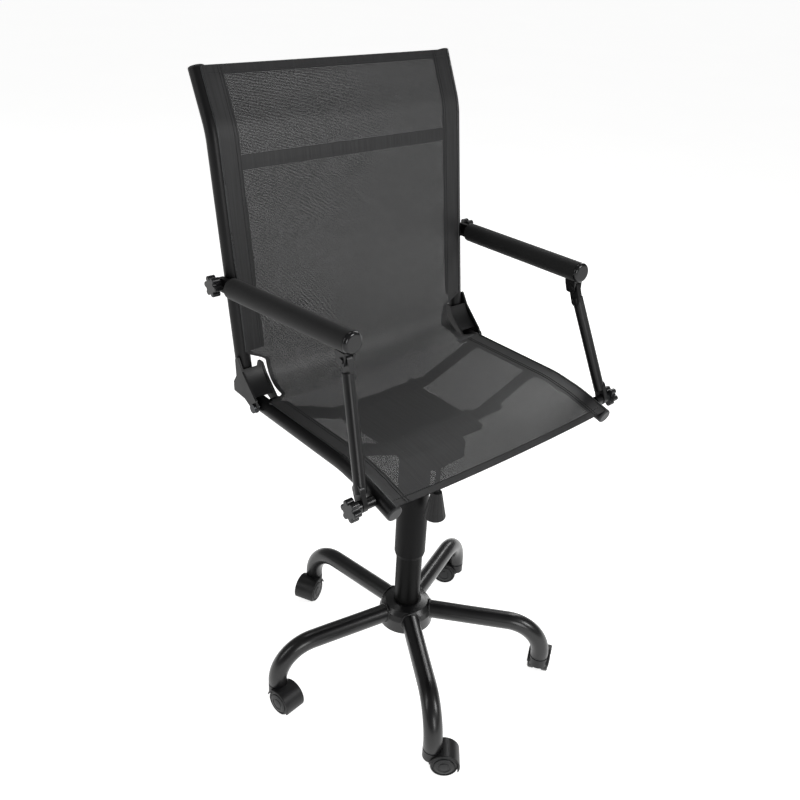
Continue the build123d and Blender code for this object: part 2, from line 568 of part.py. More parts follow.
def make_arms():
    rear = ((ARM_TAB_X[0] + ARM_TAB_X[1]) / 2, *ARM_PIVOT)
    grip_start = between(rear, ARM_FRONT, 28)
    tube_start = between(rear, ARM_FRONT, 24)
    cap_plane = Plane(origin=ARM_FRONT, z_dir=Vector(*ARM_FRONT) - Vector(*rear))

    tube = pipe(tube_start, ARM_FRONT, ARM_TUBE / 2, ARM_TUBE / 2 - FRAME_WALL)
    tab = blade(ARM_PIVOT, (ARM_FRONT[1], ARM_FRONT[2]), 34, 12, *ARM_TAB_X)
    tab += cross_pin(ARM_PIVOT, 259.2, ARM_TAB_X[0], 9)
    tube = tube + tab - cross_pin(ARM_PIVOT, 200, 300, STUD_RADIUS + RUNNING)
    clevis_x = (STRUT_TOP_X[0] + STRUT_TOP_X[1]) / 2
    cheek = make_face(Polyline(
        (STRUT_TOP[0] - 6.5, 797), (STRUT_TOP[0] + 9, 797), (STRUT_TOP[0] + 16, 817.5), (STRUT_TOP[0] - 6.5, 817.5),
        close=True))
    cheek = fillet(cheek.vertices(), 4)
    bridge = block((clevis_x - 9.6, STRUT_TOP[0] - 6, 814.5), (clevis_x + 9.6, STRUT_TOP[0] + 15, 818.5))
    clevis = side_plate(cheek, clevis_x - 9.6, clevis_x - 6.6) + side_plate(cheek, clevis_x + 6.6, clevis_x + 9.6)
    clevis += bridge + cross_pin(STRUT_TOP, clevis_x - 12, clevis_x + 12, 3)
    for head_x in (clevis_x - 12, clevis_x + 9.6):
        clevis += cross_pin(STRUT_TOP, head_x, head_x + 2.4, 5)
    for y in (STRUT_TOP[0] + 7, STRUT_TOP[0] + 13):
        clevis += rod((clevis_x, y, 815), (clevis_x, y, 824.5), 2)
    clevis -= rod(grip_start, ARM_FRONT, ARM_TUBE / 2 - FRAME_WALL)
    frame = tube + clevis
    keep("arm_frame_left", frame)
    keep("arm_frame_right", other_side(frame))

    grip = pipe(grip_start, ARM_FRONT, GRIP_RADIUS, ARM_TUBE / 2)
    grip = fillet(grip.edges().filter_by(GeomType.CIRCLE).sort_by(SortBy.RADIUS)[-2:], 1.5) - frame
    grip = grip.solids().sort_by(SortBy.VOLUME)[-1]
    keep("arm_grip_left", grip)
    keep("arm_grip_right", other_side(grip))

    dome = extrude(cap_plane * Circle(GRIP_RADIUS + 0.4), amount=6)
    dome = fillet(dome.edges().sort_by(Axis.Y)[0:1], 5.5)
    cap = dome + extrude(cap_plane * Circle(ARM_TUBE / 2 - FRAME_WALL), amount=-12)
    keep("arm_cap_left", cap)
    keep("arm_cap_right", other_side(cap))

    top = ((STRUT_TOP_X[0] + STRUT_TOP_X[1]) / 2, *STRUT_TOP)
    foot = ((STRUT_FOOT_X[0] + STRUT_FOOT_X[1]) / 2, *STRUT_FOOT)
    strut = pipe(between(top, foot, 20), between(foot, top, 18), STRUT_TUBE / 2, STRUT_TUBE / 2 - 1.4)
    strut += blade(STRUT_TOP, STRUT_FOOT, 26, 8.5, *STRUT_TOP_X)
    strut += blade(STRUT_FOOT, STRUT_TOP, 24, 10, *STRUT_FOOT_X)
    strut += cross_pin(STRUT_FOOT, RAIL_X + FRAME_TUBE / 2 + 0.4, STRUT_FOOT_X[0], 8.5)
    strut -= cross_pin(STRUT_TOP, 200, 300, 3.5)
    strut -= cross_pin(STRUT_FOOT, 200, 300, STUD_RADIUS + RUNNING)
    keep("strut_left", strut)
    keep("strut_right", other_side(strut))

    knob_rear = star_knob(ARM_PIVOT, ARM_TAB_X[1] + 0.2, ARM_TAB_X[1] + 6, 232)
    knob_front = star_knob(STRUT_FOOT, STRUT_FOOT_X[1] + 0.2, STRUT_FOOT_X[1] + 9, 226)
    keep("knob_rear_left", knob_rear)
    keep("knob_rear_right", other_side(knob_rear))
    keep("knob_front_left", knob_front)
    keep("knob_front_right", other_side(knob_front))


make_base()
make_sockets()
make_castors()
make_column()
make_mechanism()
make_seat_frame()
make_back()
make_arms()

os.makedirs("parts", exist_ok=True)
for name, shape in parts.items():
    export_step(shape, f"parts/{name}.step")
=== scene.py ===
# %% [markdown]
# A swivel chair for a hunting blind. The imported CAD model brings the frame, the column, the castors and every
# joint. This script gives those pieces their finishes, and adds what CAD keeps plain: the woven sling with
# its hems and stitching, the foam arm grips, the welts in the tube slots, the webs of the hinge brackets and
# the weld beads of the star base. Everything is in metres, in the frame of the CAD model: +Z is up, the
# sitter faces -Y, +X is the sitter's left.

# %% Load the frame
import json
import math

import bpy
import numpy as np
from mathutils import Matrix, Vector


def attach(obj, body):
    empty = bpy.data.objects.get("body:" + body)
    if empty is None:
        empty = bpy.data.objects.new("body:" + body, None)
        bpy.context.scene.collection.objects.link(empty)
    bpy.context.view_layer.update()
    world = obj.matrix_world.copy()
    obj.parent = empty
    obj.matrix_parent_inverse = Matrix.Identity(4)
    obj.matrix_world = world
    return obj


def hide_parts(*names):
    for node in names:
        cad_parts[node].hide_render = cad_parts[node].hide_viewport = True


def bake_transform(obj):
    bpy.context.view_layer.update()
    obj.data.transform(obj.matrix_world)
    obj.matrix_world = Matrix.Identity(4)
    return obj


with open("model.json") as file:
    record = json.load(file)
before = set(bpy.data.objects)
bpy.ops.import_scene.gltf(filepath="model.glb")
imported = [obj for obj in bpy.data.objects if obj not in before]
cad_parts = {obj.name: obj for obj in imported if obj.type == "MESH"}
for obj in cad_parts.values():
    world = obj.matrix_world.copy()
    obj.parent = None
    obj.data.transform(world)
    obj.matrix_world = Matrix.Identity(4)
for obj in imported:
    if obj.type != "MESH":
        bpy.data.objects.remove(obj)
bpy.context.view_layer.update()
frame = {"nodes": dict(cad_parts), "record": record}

# %% [markdown]
# A modelled piece is easiest to check when nothing else is selected, so each step starts by clearing the
# selection. A finished piece keeps its place in its mesh, with its object at the origin, as the CAD nodes do.

# %% Helpers for modelling
MM = 0.001


def clear_selection():
    """Nothing selected and nothing active."""
    if bpy.context.object and bpy.context.object.mode != "OBJECT":
        bpy.ops.object.mode_set(mode="OBJECT")
    bpy.ops.object.select_all(action="DESELECT")
    bpy.context.view_layer.objects.active = None


def pick(piece):
    """Selects one piece alone and makes it active."""
    clear_selection()
    piece.select_set(True)
    bpy.context.view_layer.objects.active = piece


def settle(piece, name, finish, smooth_angle=35):
    """Names a piece, puts its place into its mesh, smooths it and gives it its finish."""
    pick(piece)
    piece.name = name
    piece.data.name = name
    bpy.ops.object.transform_apply(location=True, rotation=True, scale=True)
    bpy.ops.object.mode_set(mode="EDIT")
    bpy.ops.mesh.select_all(action="SELECT")
    bpy.ops.mesh.normals_make_consistent(inside=False)
    bpy.ops.object.mode_set(mode="OBJECT")
    bpy.ops.object.shade_smooth_by_angle(angle=math.radians(smooth_angle))
    piece.data.materials.clear()
    piece.data.materials.append(finish)
    return piece


# %% [markdown]
# The camera stands in front of the sitter's right hand, a little above the back of the chair, and is rolled a
# few degrees. Its lens is close to a normal one. Blender's camera looks along its own -Z, so the matrix is
# built from three directions: right, up, and back towards the viewer.

# %% Camera
CAMERA_PLACE = Vector((-0.9265, -0.9815, 1.3439))
CAMERA_AZIMUTH = math.radians(-41.9)
CAMERA_ELEVATION = math.radians(28.77)
CAMERA_ROLL = math.radians(3.08)
CAMERA_LENS = 39.68
SENSOR_WIDTH = 36

backward = Vector((
    math.sin(CAMERA_AZIMUTH) * math.cos(CAMERA_ELEVATION),
    -math.cos(CAMERA_AZIMUTH) * math.cos(CAMERA_ELEVATION),
    math.sin(CAMERA_ELEVATION),
))
rightward = Vector((0, 0, 1)).cross(backward).normalized()
upward = backward.cross(rightward)
turn = Matrix((rightward, upward, backward)).transposed() @ Matrix.Rotation(CAMERA_ROLL, 3, "Z")
camera_data = bpy.data.cameras.new("camera")
camera_data.lens = CAMERA_LENS
camera_data.sensor_width = SENSOR_WIDTH
camera = bpy.data.objects.new("camera", camera_data)
bpy.context.collection.objects.link(camera)
camera.matrix_world = Matrix.Translation(CAMERA_PLACE) @ turn.to_4x4()
bpy.context.scene.camera = camera
print("camera at", [round(x, 3) for x in camera.location])

# %% [markdown]
# Black objects show their form by what they reflect. A big soft box in front lights the cloth. Two tall ones
# behind, one on each side, draw long highlights along the tubes. A small one above and another aimed at the
# star base pick out the tops of the legs, and a pale floor fills the shadows from below.

# %% Studio
FLOOR_HALF = 40.0
FLOOR_GLOW = 0.78
SKY_STRENGTH = 0.2
CHAIR_MIDDLE = (0, 0, 0.55)
BASE_MIDDLE = (0, 0, 0.15)


def soft_box(name, place, target, width, height, power):
    """A rectangular area light aimed at a point."""
    data = bpy.data.lights.new(name, "AREA")
    data.shape = "RECTANGLE"
    data.size = width
    data.size_y = height
    data.energy = power
    light = bpy.data.objects.new(name, data)
    bpy.context.collection.objects.link(light)
    light.location = place
    light.rotation_euler = (Vector(target) - Vector(place)).to_track_quat("-Z", "Y").to_euler()
    return light


soft_box("key_box", (-1.3, -3.4, 1.5), CHAIR_MIDDLE, 1.3, 1.3, 40)
soft_box("side_box", (-2.8, 0.9, 2.0), CHAIR_MIDDLE, 0.6, 2.0, 16)
soft_box("far_box", (2.6, 1.0, 2.2), CHAIR_MIDDLE, 0.6, 2.0, 26)
soft_box("top_box", (0.4, 1.0, 3.4), CHAIR_MIDDLE, 1.0, 1.0, 8)
soft_box("base_box", (0.9, -1.9, 1.7), BASE_MIDDLE, 0.7, 0.7, 22)

world = bpy.data.worlds.new("studio")
bpy.context.scene.world = world
world.use_nodes = True
sky = world.node_tree.nodes["Background"]
sky.inputs["Color"].default_value = (1, 1, 1, 1)
sky.inputs["Strength"].default_value = SKY_STRENGTH
bpy.context.scene.view_settings.view_transform = "Standard"

# %% [markdown]
# Every finish starts from the real material and how its surface was made. Colours are the hex values a
# painter would note, turned to Blender's linear values by one function. One small function adds a shader node
# with its settings and its links, so each recipe below reads from top to bottom.

# %% Helpers for finishes
PLAIN_SPECULAR = 0.3


def linear(code):
    """An sRGB hex colour as linear RGBA."""
    parts = [int(code[i:i + 2], 16) / 255 for i in (1, 3, 5)]
    return (*[p / 12.92 if p <= 0.04045 else ((p + 0.055) / 1.055) ** 2.4 for p in parts], 1)


def add(tree, kind, inputs=None, **settings):
    """Adds a shader node, sets it up, and links or sets its inputs."""
    made = tree.nodes.new(kind)
    for key, value in settings.items():
        setattr(made, key, value)
    for key, value in (inputs or {}).items():
        if isinstance(value, bpy.types.NodeSocket):
            tree.links.new(value, made.inputs[key])
        else:
            made.inputs[key].default_value = value
    return made


def new_finish(name):
    """An empty material with its shader and output."""
    finish = bpy.data.materials.new(name)
    finish.use_nodes = True
    tree = finish.node_tree
    shader = tree.nodes["Principled BSDF"]
    shader.inputs["Specular IOR Level"].default_value = PLAIN_SPECULAR
    return finish, tree, shader


def per_metre(size_mm):
    """The noise scale that gives features of a size in millimetres."""
    return 1000.0 / size_mm


# %% [markdown]
# Paint, powder coat and moulded plastic share one build: a colour that drifts slightly over a hand's width, a
# gloss that drifts with it, and a fine grain in the surface. What tells them apart is the size of the grain,
# how deep it is and how glossy the skin over it is.

# %% One recipe for skins
PATCH_SPREAD = 0.5
GRAIN_STRENGTH = 0.6


def skin(name, dark, light, gloss, grain_mm, depth_mm, patch_mm=70.0, stretch=(1, 1, 1), **sockets):
    """A painted, coated or moulded surface. gloss is (shiniest, dullest) roughness."""
    finish, tree, shader = new_finish(name)
    place = add(tree, "ShaderNodeTexCoord").outputs["Object"]
    patches = add(tree, "ShaderNodeTexNoise", {
        "Vector": place, "Scale": per_metre(patch_mm), "Detail": 4.0, "Roughness": 0.6}).outputs["Fac"]
    drift = add(tree, "ShaderNodeMapRange", {
        "Value": patches, "From Min": 0.5 - PATCH_SPREAD / 2,
        "From Max": 0.5 + PATCH_SPREAD / 2}).outputs["Result"]
    colour = add(tree, "ShaderNodeMix", {
        "Factor": drift, "A": linear(dark), "B": linear(light)}, data_type="RGBA")
    tree.links.new(colour.outputs["Result"], shader.inputs["Base Color"])
    dulling = add(tree, "ShaderNodeMapRange", {
        "Value": patches, "From Min": 0.3, "From Max": 0.7, "To Min": gloss[0], "To Max": gloss[1]})
    tree.links.new(dulling.outputs["Result"], shader.inputs["Roughness"])
    stretched = add(tree, "ShaderNodeMapping", {"Vector": place, "Scale": stretch}).outputs["Vector"]
    grain = add(tree, "ShaderNodeTexNoise", {
        "Vector": stretched, "Scale": per_metre(grain_mm), "Detail": 3.0, "Roughness": 0.55}).outputs["Fac"]
    relief = add(tree, "ShaderNodeBump", {
        "Height": grain, "Strength": GRAIN_STRENGTH, "Distance": depth_mm * MM})
    tree.links.new(relief.outputs["Normal"], shader.inputs["Normal"])
    for key, value in sockets.items():
        shader.inputs[key.replace("_", " ")].default_value = value
    return finish


# %% [markdown]
# The star base is stove enamelled: wet paint, baked, so it levels out glossy with a faint orange peel a few
# millimetres across. The folding frame is powder coated, which melts into a satin skin with a finer pebble.
# The arm tubes and struts get the same powder, but hands polish them a little brighter.

# %% Paints
enamel = skin("stove_enamel_black", "#070708", "#0E0E0F", (0.3, 0.42), 3.5, 0.05, IOR=1.5, Coat_Weight=0.4,
              Coat_Roughness=0.22)
column_enamel = skin("column_enamel_black", "#040404", "#070707", (0.36, 0.46), 2.2, 0.05, IOR=1.45,
                     Specular_IOR_Level=0.12)
powder = skin("powder_coat_black", "#060607", "#0C0C0D", (0.34, 0.46), 1.3, 0.06, IOR=1.5,
              Specular_IOR_Level=0.22)
arm_powder = skin("powder_coat_handled", "#0A0A0B", "#121213", (0.28, 0.4), 1.3, 0.05, IOR=1.5)
bracket_powder = skin("powder_coat_bracket", "#09090A", "#101011", (0.36, 0.5), 1.1, 0.08, IOR=1.5)
dip_paint = skin("dip_paint_black", "#0D0D0E", "#161617", (0.45, 0.6), 1.6, 0.08, IOR=1.5)

# %% [markdown]
# The plastics are glass-filled nylon for hoods, wheels and star knobs, polypropylene for the column cover and
# plugs, and polished ABS for the arm caps. A moulding tool is spark eroded, which leaves a grain under a
# millimetre; it is drawn slightly coarser here so that it still shows from a step away.

# %% Plastics
hood_nylon = skin("nylon_hood_moulded", "#111112", "#1B1B1C", (0.36, 0.46), 0.9, 0.05, IOR=1.53)
wheel_nylon = skin("nylon_wheel_moulded", "#0E0F10", "#1B1C1D", (0.34, 0.5), 1.1, 0.05, patch_mm=14.0,
                   IOR=1.53)
knob_nylon = skin("nylon_star_knob", "#121213", "#202122", (0.22, 0.34), 0.8, 0.03, patch_mm=20.0,
                  IOR=1.53)
tension_plastic = skin("polypropylene_tension_knob", "#0E0E0F", "#171718", (0.4, 0.52), 0.9, 0.05, IOR=1.49)
cover_plastic = skin("polypropylene_cover", "#040405", "#070708", (0.42, 0.52), 1.0, 0.04, IOR=1.49,
                     Specular_IOR_Level=0.12)
plug_plastic = skin("polyethylene_plug", "#161718", "#252627", (0.38, 0.5), 0.9, 0.05, patch_mm=15.0,
                    IOR=1.51)
cap_abs = skin("abs_cap_polished", "#0D0D0E", "#151516", (0.12, 0.2), 2.5, 0.02, patch_mm=18.0, IOR=1.54)
bush_plastic = skin("acetal_bush", "#17181A", "#202123", (0.35, 0.45), 0.8, 0.03, IOR=1.48)
button_plastic = skin("acetal_valve_button", "#7A1612", "#92201A", (0.35, 0.45), 0.7, 0.03, IOR=1.48)
spring_rubber = skin("chloroprene_spring", "#101010", "#1B1B1A", (0.6, 0.75), 1.0, 0.08, IOR=1.52)

# %% [markdown]
# Bare metal is told from paint by its metallic shader. Turned pins carry fine rings across their length, so
# their grain is stretched. The fasteners are zinc plated and blackened: still metal, but dark. The gas rod is
# hard chromed and ground, the smoothest surface on the chair.

# %% Metals
turned_steel = skin("steel_turned", "#8C8D8F", "#A6A7A8", (0.25, 0.38), 0.8, 0.02, stretch=(0.2, 1, 1),
                    Metallic=1.0)
black_zinc = skin("steel_black_zinc", "#2C2D2F", "#414244", (0.3, 0.45), 0.9, 0.03, patch_mm=12.0,
                  Metallic=1.0)
hard_chrome = skin("hard_chrome_ground", "#C4C5C7", "#D2D3D4", (0.06, 0.12), 1.5, 0.01, Metallic=1.0)

# %% [markdown]
# The grips are nitrile foam tube: closed cells a millimetre across, cut open at the skin. That makes a matt,
# slightly velvety black, so besides its cell pattern it gets a little sheen. The hollow of each open cell is
# painted darker, as painted shade in the pits where the bump sinks the surface.

# %% Foam
CELL_MM = 1.4
WEAR_MM = 45
foam, tree, shader = new_finish("nitrile_foam_extruded")
place = add(tree, "ShaderNodeTexCoord").outputs["Object"]
cells = add(tree, "ShaderNodeTexVoronoi", {"Vector": place, "Scale": per_metre(CELL_MM)}).outputs["Distance"]
wear = add(tree, "ShaderNodeTexNoise", {
    "Vector": place, "Scale": per_metre(WEAR_MM), "Detail": 5.0}).outputs["Fac"]
worn = add(tree, "ShaderNodeMapRange", {"Value": wear, "From Min": 0.35, "From Max": 0.7}).outputs["Result"]
tone = add(tree, "ShaderNodeMix", {
    "Factor": worn, "A": linear("#0B0B0C"), "B": linear("#151516")}, data_type="RGBA").outputs["Result"]
# Painted shade: a near-black is mixed in at the centre of each cell, darkening the pits of the foam.
pits_in_painted_shade = add(tree, "ShaderNodeMix", {
    "Factor": cells, "A": linear("#060606"), "B": tone}, data_type="RGBA").outputs["Result"]
tree.links.new(pits_in_painted_shade, shader.inputs["Base Color"])
foam_bump = add(tree, "ShaderNodeBump", {"Height": cells, "Strength": 0.5, "Distance": 0.25 * MM})
tree.links.new(foam_bump.outputs["Normal"], shader.inputs["Normal"])
shader.inputs["Roughness"].default_value = 0.72
shader.inputs["IOR"].default_value = 1.52
shader.inputs["Sheen Weight"].default_value = 0.08
shader.inputs["Sheen Roughness"].default_value = 0.5
print("finishes so far", len(bpy.data.materials))

# %% [markdown]
# The sling is textilene: polyester yarn coated with PVC, woven open so that air and a little light pass.
# Three things make it read as that cloth. Tiny square holes, each a sixth of the pitch wide, let about three
# hundredths of the light through. The warp, which runs from the front hem to the top, is uneven, so long
# faint streaks run along it. And the yarns stand proud of each other, which breaks up the highlight. The
# pattern follows the cloth's own UV map, which is in metres. The real pitch is near one millimetre; it is
# drawn at about twice that so that it shows from a step away.

# %% Textilene
YARN_MM = 2.2
HOLE_SHARE = 0.17
STREAK_WIDTH_MM = 2.6
STREAK_LENGTH_MM = 130
WEAVE_STRENGTH = 0.3
WEAVE_DEPTH = 0.12 * MM


def textilene(name, dark, light):
    """Woven PVC-coated yarn with open holes, on a UV map in metres."""
    finish, tree, shader = new_finish(name)
    cloth_map = add(tree, "ShaderNodeUVMap", uv_map="cloth").outputs["UV"]
    axes = add(tree, "ShaderNodeSeparateXYZ", {"Vector": cloth_map})
    ridges = []
    for axis in ("X", "Y"):
        turns = add(tree, "ShaderNodeMath", {
            0: axes.outputs[axis], 1: per_metre(YARN_MM)}, operation="MULTIPLY").outputs[0]
        ridges.append(add(tree, "ShaderNodeMath", {0: turns, 1: 0.5}, operation="PINGPONG").outputs[0])
    gaps = [
        add(tree, "ShaderNodeMath", {0: ridge, 1: HOLE_SHARE / 2}, operation="LESS_THAN").outputs[0]
        for ridge in ridges
    ]
    hole = add(tree, "ShaderNodeMath", {0: gaps[0], 1: gaps[1]}, operation="MULTIPLY").outputs[0]
    solid = add(tree, "ShaderNodeMath", {0: 1.0, 1: hole}, operation="SUBTRACT").outputs[0]
    tree.links.new(solid, shader.inputs["Alpha"])

    along_warp = add(tree, "ShaderNodeMapping", {
        "Vector": cloth_map, "Scale": (per_metre(STREAK_WIDTH_MM), per_metre(STREAK_LENGTH_MM), 1)
    }).outputs["Vector"]
    streaks = add(tree, "ShaderNodeTexNoise", {
        "Vector": along_warp, "Scale": 1.0, "Detail": 3.0, "Roughness": 0.7}).outputs["Fac"]
    slubs = add(tree, "ShaderNodeMapRange", {
        "Value": streaks, "From Min": 0.3, "From Max": 0.75}).outputs["Result"]
    yarn = add(tree, "ShaderNodeMix", {
        "Factor": slubs, "A": linear(dark), "B": linear(light)}, data_type="RGBA").outputs["Result"]
    tree.links.new(yarn, shader.inputs["Base Color"])

    weave = add(tree, "ShaderNodeMath", {0: ridges[0], 1: ridges[1]}, operation="ADD").outputs[0]
    relief = add(tree, "ShaderNodeBump", {
        "Height": weave, "Strength": WEAVE_STRENGTH, "Distance": WEAVE_DEPTH})
    tree.links.new(relief.outputs["Normal"], shader.inputs["Normal"])
    shader.inputs["Roughness"].default_value = 0.5
    shader.inputs["IOR"].default_value = 1.53
    shader.inputs["Sheen Weight"].default_value = 0.15
    shader.inputs["Sheen Roughness"].default_value = 0.4
    return finish


sling_cloth = textilene("textilene_woven_charcoal", "#101011", "#262627")
thread = skin("polyester_thread_bonded", "#161617", "#2A2A2B", (0.4, 0.55), 0.5, 0.05, patch_mm=6.0,
              IOR=1.57)
# The welt is a real PVC cord, but its grey is lighter than the cloth as a painted highlight along the tube
# slot.
welt_painted_highlight = skin("pvc_welt_painted_highlight", "#1B1C1D", "#303132", (0.25, 0.36), 0.9, 0.03, patch_mm=40.0,
                   IOR=1.54)

# %% [markdown]
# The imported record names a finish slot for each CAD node, so dressing the CAD pieces is one table from slot
# to material and one loop. The two plain sling panels and the two plain grips are dressed with the rest, and
# modelled pieces replace them further down.

# %% Dress the CAD nodes
FINISH_OF_SLOT = {
    "base_enamel": enamel,
    "tube_enamel": column_enamel,
    "frame_powder_coat": powder,
    "bracket_powder_coat": bracket_powder,
    "arm_powder_coat": arm_powder,
    "mechanism_paint": dip_paint,
    "lever_paint": dip_paint,
    "bright_steel": turned_steel,
    "black_zinc": black_zinc,
    "chromed_rod": hard_chrome,
    "bush_plastic": bush_plastic,
    "button_plastic": button_plastic,
    "cover_plastic": cover_plastic,
    "knob_plastic": tension_plastic,
    "star_knob_plastic": knob_nylon,
    "plug_plastic": plug_plastic,
    "castor_nylon": hood_nylon,
    "wheel_nylon": wheel_nylon,
    "cap_gloss": cap_abs,
    "spring_rubber": spring_rubber,
    "grip_foam": foam,
    "sling_mesh": sling_cloth,
}
slot_of_node = {row["node"]: row["material_slot"] for row in frame["record"]["subparts"]}
for node, cad_piece in frame["nodes"].items():
    for material_slot in cad_piece.material_slots:
        material_slot.material = FINISH_OF_SLOT[slot_of_node[node]]
print("dressed", len(frame["nodes"]), "CAD nodes")

# %% [markdown]
# The sling hangs between the two bent tubes. Seen from the side, its line follows the crest of the seat
# rails, rounds the corner behind the sitter, and follows the front of the uprights. Those lines are worked
# out from the CAD frame: straight runs of tube with a little averaging where a bend joins them.

# %% Side view of the sling
TUBE_RADIUS = 13.0 * MM
CLOTH_LIFT = 0.5 * MM
RAIL_RUN = [(-0.230, 0.5904), (-0.216, 0.594), (-0.152, 0.6105), (-0.098, 0.618), (0.160, 0.618)]
UPRIGHT_RUN = [(0.632, 0.170), (1.045, 0.228), (1.130, 0.267), (1.152, 0.277)]
RAIL_X = 0.240
UPRIGHT_X = [(0.632, 0.243), (1.045, 0.248), (1.152, 0.2493)]
FRONT_Y = -0.219
TOP_Z = 1.1305
SEAT_LEAVES_RAIL_Y = 0.100
BACK_MEETS_UPRIGHT_Z = 0.698
BEND_SOFTENING = (-12 * MM, -6 * MM, 0, 6 * MM, 12 * MM)
FRONT_HEM_SETBACK = 3 * MM
CORNER_REACH = 0.5
SEAT_POINTS, CORNER_POINTS, BACK_POINTS = 90, 40, 120


def along(run, at):
    """Reads a run of straight pieces at one place."""
    return float(np.interp(at, [p[0] for p in run], [p[1] for p in run]))


def softened(run, at):
    """The same with the corners rounded off."""
    return sum(along(run, at + step) for step in BEND_SOFTENING) / len(BEND_SOFTENING)


def seat_line(y):
    """Crest of the rail at a depth y, as (y, z)."""
    slope = (softened(RAIL_RUN, y + MM) - softened(RAIL_RUN, y - MM)) / (2 * MM)
    lift = (TUBE_RADIUS + CLOTH_LIFT) / math.hypot(1, slope)
    return Vector((y - slope * lift, softened(RAIL_RUN, y) + lift))


def back_line(z):
    """Front of the upright at a height z, as (y, z)."""
    lean = (softened(UPRIGHT_RUN, z + MM) - softened(UPRIGHT_RUN, z - MM)) / (2 * MM)
    lift = (TUBE_RADIUS + CLOTH_LIFT) / math.hypot(1, lean)
    return Vector((softened(UPRIGHT_RUN, z) - lift, z + lean * lift))


def side_profile():
    """Points of the sling's side line from the front hem to the top hem, evenly spaced."""
    seat_places = np.linspace(FRONT_Y + FRONT_HEM_SETBACK, SEAT_LEAVES_RAIL_Y, SEAT_POINTS)
    seat = [seat_line(y) for y in seat_places]
    back = [back_line(z) for z in np.linspace(BACK_MEETS_UPRIGHT_Z, TOP_Z, BACK_POINTS)]
    start, end = seat[-1], back[0]
    reach = CORNER_REACH * (end - start).length
    leaving = (seat[-1] - seat[-2]).normalized()
    arriving = (back[1] - back[0]).normalized()
    a, b = start + leaving * reach, end - arriving * reach
    corner = []
    for t in np.linspace(0, 1, CORNER_POINTS + 2)[1:-1]:
        corner.append(
            start * (1 - t) ** 3 + a * 3 * t * (1 - t) ** 2 + b * 3 * t * t * (1 - t) + end * t ** 3)
    raw = np.array([tuple(p) for p in seat + corner + back])
    steps = np.concatenate([[0], np.cumsum(np.linalg.norm(np.diff(raw, axis=0), axis=1))])
    return raw, steps


profile_points, profile_steps = side_profile()
SLING_LENGTH = float(profile_steps[-1])
print("sling length along its side", round(SLING_LENGTH, 4))

# %% [markdown]
# Across the chair the cloth reaches from slot to slot. Between the rail and the upright it is cut back in a
# curve and left free, which opens the small window at each rear corner of the seat. Under its own weight and
# years of sitting the cloth also dips a little between the tubes, least at the top hem and over the back bar.

# %% Width and dip of the sling
CORNER_START = float(np.interp(
    SEAT_LEAVES_RAIL_Y, profile_points[:, 0][:SEAT_POINTS], profile_steps[:SEAT_POINTS]))
CORNER_END = float(profile_steps[SEAT_POINTS + CORNER_POINTS])
CORNER_HALF_WIDTH = 0.209
EASE_FROM_SEAT = 0.016
EASE_TO_BACK = 0.024
SEAT_DIP = 0.010
BACK_DIP = 0.004
BACK_BAR_Z = 0.995
BAR_REACH = 0.09
LEAST_BACK_DIP = 0.15
TOP_REACH = 0.06
LEAST_TOP_DIP = 0.25
DIP_FULLNESS = 0.8


def smooth_step(value):
    """Eases from 0 to 1 and stays there on either side."""
    value = min(max(value, 0.0), 1.0)
    return value * value * (3 - 2 * value)


def profile_at(s):
    """(y, z) of the side line at a distance along the cloth."""
    return Vector((
        float(np.interp(s, profile_steps, profile_points[:, 0])),
        float(np.interp(s, profile_steps, profile_points[:, 1])),
    ))


def profile_normal(s):
    """Direction out of the sitter's side of the cloth, in (y, z)."""
    ahead, behind = profile_at(s + MM), profile_at(s - MM)
    run = (ahead - behind).normalized()
    return Vector((-run.y, run.x))


def half_width(s):
    """From the middle of the cloth to its edge."""
    y, z = profile_at(s)
    slot = RAIL_X if s < CORNER_START else along(UPRIGHT_X, z)
    leaving = smooth_step((s - CORNER_START) / EASE_FROM_SEAT)
    arriving = smooth_step((CORNER_END - s) / EASE_TO_BACK)
    return slot + (CORNER_HALF_WIDTH - slot) * (leaving * arriving)


def dip(s, across):
    """How far the cloth sinks below the side line."""
    y, z = profile_at(s)
    if s < CORNER_START:
        depth = SEAT_DIP
    elif s < CORNER_END:
        through_corner = (s - CORNER_START) / (CORNER_END - CORNER_START)
        depth = SEAT_DIP + (BACK_DIP - SEAT_DIP) * smooth_step(through_corner)
    else:
        depth = BACK_DIP * min(1.0, LEAST_BACK_DIP + abs(z - BACK_BAR_Z) / BAR_REACH)
    from_top = smooth_step((SLING_LENGTH - s) / TOP_REACH)
    return depth * max(from_top, LEAST_TOP_DIP) * (1 - across ** 2) ** DIP_FULLNESS


def on_cloth(across, s, lift=0.0):
    """A point of the cloth: across runs from -1 to 1, s from 0 to its length."""
    y, z = profile_at(s)
    normal = profile_normal(s)
    offset = lift - dip(s, min(abs(across), 1.0))
    return Vector((across * half_width(s), y + normal.x * offset, z + normal.y * offset))


# %% [markdown]
# Each piece of cloth starts as a grid, and every row of it is laid on the surface described above. One
# function does the main panel and all the hems, because a hem is only a second layer just behind the first,
# and it makes the UV map in metres that the weave needs.

